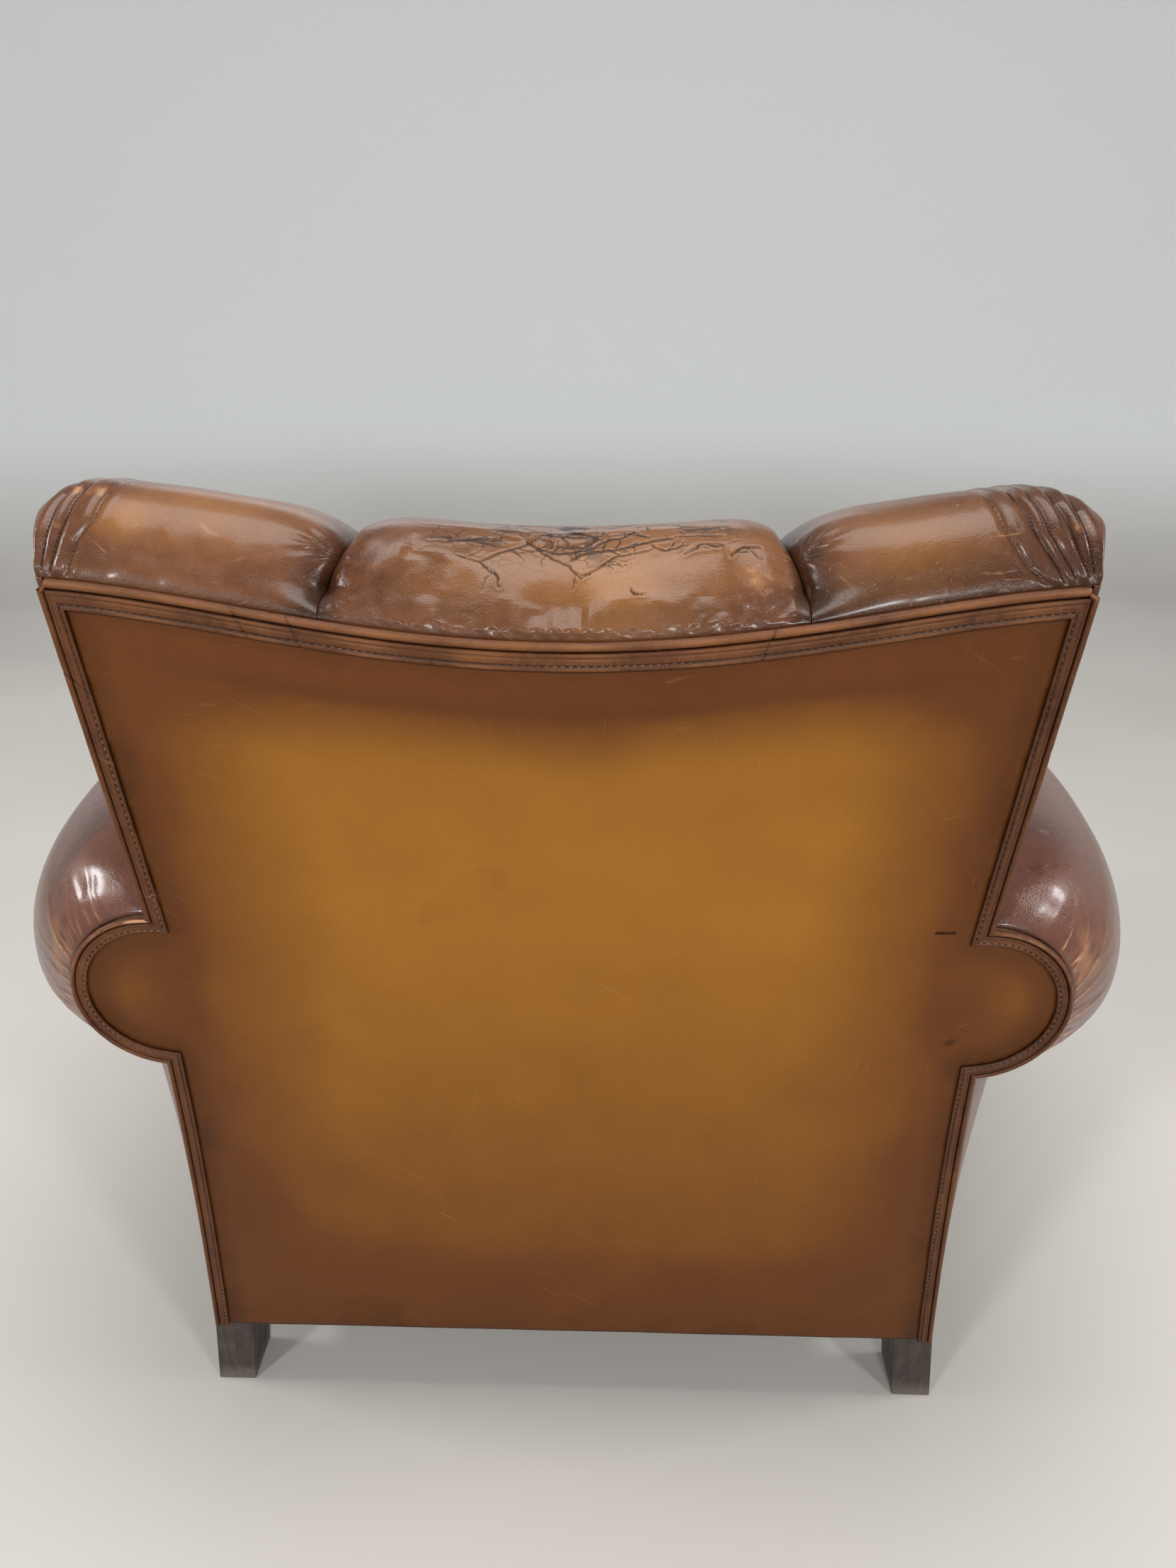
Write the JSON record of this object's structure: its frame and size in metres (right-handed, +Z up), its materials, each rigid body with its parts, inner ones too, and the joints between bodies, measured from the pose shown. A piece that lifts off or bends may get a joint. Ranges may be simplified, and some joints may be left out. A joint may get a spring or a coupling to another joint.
{
  "type": "worn club chair",
  "caption": "Low leather club chair with round scrolled arms, a padded back that rises to its corners and a loose seat cushion, on a webbed and sprung wooden frame.",
  "frame": {"origin": "on the floor, under the middle of the chair's width and depth", "axes": "+Z up, +X to the left of someone sitting in the chair, -Y the way the seat faces, so the outside back looks towards +Y"},
  "size_m": [0.8992, 0.8602, 0.7988],
  "materials": {
    "beech": "sawn and unfinished",
    "stained_beech": "dark stain, scuffed on the feet",
    "jute": "coarse woven webbing and hessian",
    "horsehair": "matted curled hair",
    "spring_steel": "dull oiled wire",
    "tan_hide": "satin, golden in the middle, darkened at the edges, stained and scratched",
    "brown_hide": "glossy where handled, crazed and rubbed to tan",
    "dark_hide": "dull, its ridge worn paler",
    "black_cloth": "thin dull bottom cloth"
  },
  "bodies": {
    "root": {"arm_facing_left": "brown_hide", "arm_facing_right": "brown_hide", "arm_front_board_left": "beech", "arm_front_board_right": "beech", "arm_leather_left": "brown_hide", "arm_leather_right": "brown_hide", "arm_piping_left": "dark_hide", "arm_piping_right": "dark_hide", "arm_rail_left": "beech", "arm_rail_right": "beech", "arm_stuffing_left": "horsehair", "arm_stuffing_right": "horsehair", "arm_tack_rail_left": "beech", "arm_tack_rail_right": "beech", "back_band": "dark_hide", "back_hessian": "jute", "back_pad_left": "brown_hide", "back_pad_middle": "brown_hide", "back_pad_right": "brown_hide", "back_piping": "dark_hide", "back_tack_rail": "beech", "back_top_rail": "beech", "bottom_cloth": "black_cloth", "front_border": "brown_hide", "front_brace_left": "beech", "front_brace_right": "beech", "front_post_left": "stained_beech", "front_post_right": "stained_beech", "front_rail": "beech", "outside_arm_left": "brown_hide", "outside_arm_right": "brown_hide", "outside_back": "tan_hide", "rear_brace_left": "beech", "rear_brace_right": "beech", "rear_post_left": "stained_beech", "rear_post_right": "stained_beech", "rear_rail": "beech", "rear_scroll_board_left": "beech", "rear_scroll_board_right": "beech", "seat_cushion": "brown_hide", "seat_deck_cover": "brown_hide", "seat_hessian": "jute", "seat_spring_11": "spring_steel", "seat_spring_12": "spring_steel", "seat_spring_13": "spring_steel", "seat_spring_21": "spring_steel", "seat_spring_22": "spring_steel", "seat_spring_23": "spring_steel", "seat_spring_31": "spring_steel", "seat_spring_32": "spring_steel", "seat_spring_33": "spring_steel", "seat_stuffing": "horsehair", "side_rail_left": "beech", "side_rail_right": "beech", "strap_crossways_1": "jute", "strap_crossways_2": "jute", "strap_crossways_3": "jute", "strap_lengthways_1": "jute", "strap_lengthways_2": "jute", "strap_lengthways_3": "jute"}
  },
  "joints": []
}
